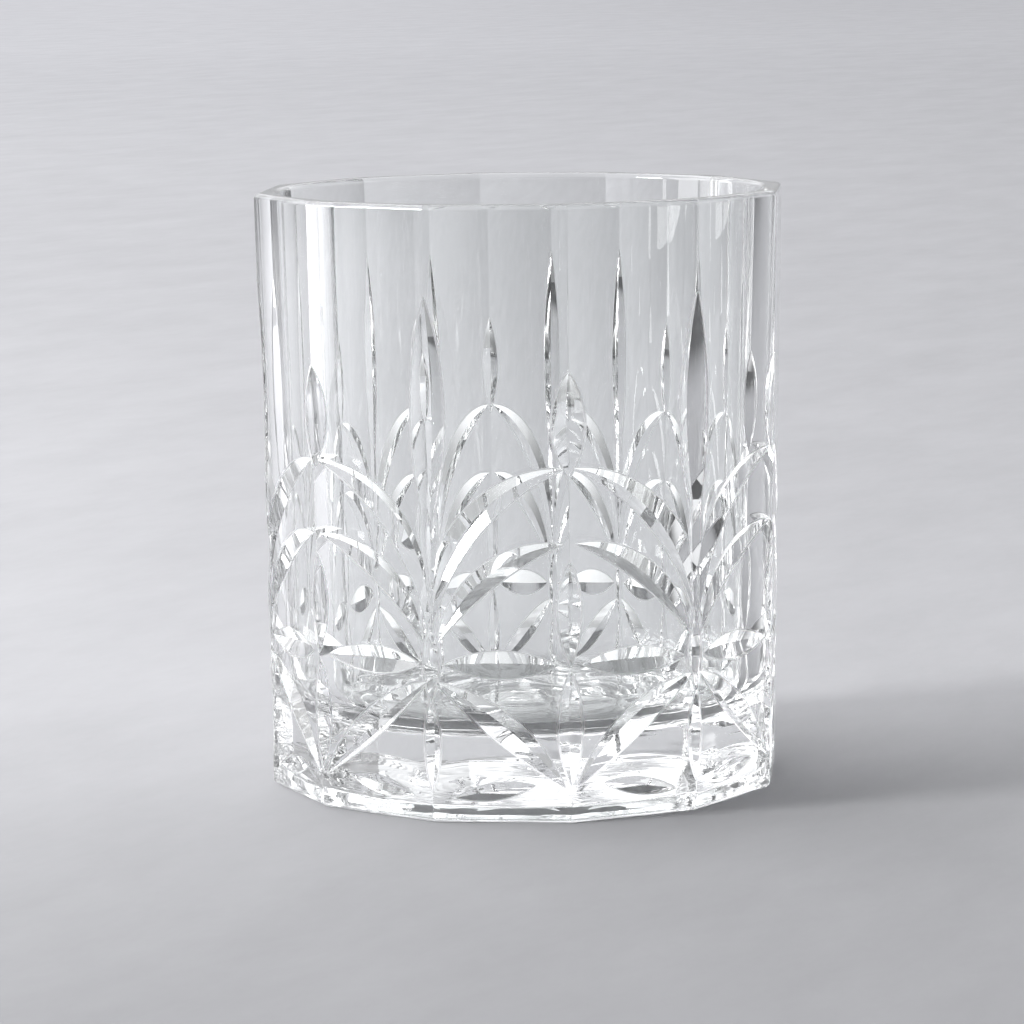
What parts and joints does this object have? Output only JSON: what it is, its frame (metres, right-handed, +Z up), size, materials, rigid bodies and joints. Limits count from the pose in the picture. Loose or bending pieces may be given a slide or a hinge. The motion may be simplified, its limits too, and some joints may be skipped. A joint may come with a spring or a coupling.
{
  "type": "whiskey tumbler",
  "caption": "Short thick-based whiskey glass with flat upright sides, a round bowl and a deep cut palm-frond pattern round its lower two thirds.",
  "frame": {"origin": "centre of the underside, on the surface that the glass stands on", "axes": "+Z up along the glass's axis; a palm corner, the corner with the tall leaf, points to -Y"},
  "size_m": [0.088, 0.088, 0.0978],
  "materials": {
    "crystal": "polished clear colourless crystal, fine fire-polished edges"
  },
  "bodies": {
    "root": {"tumbler": "crystal"}
  },
  "joints": []
}
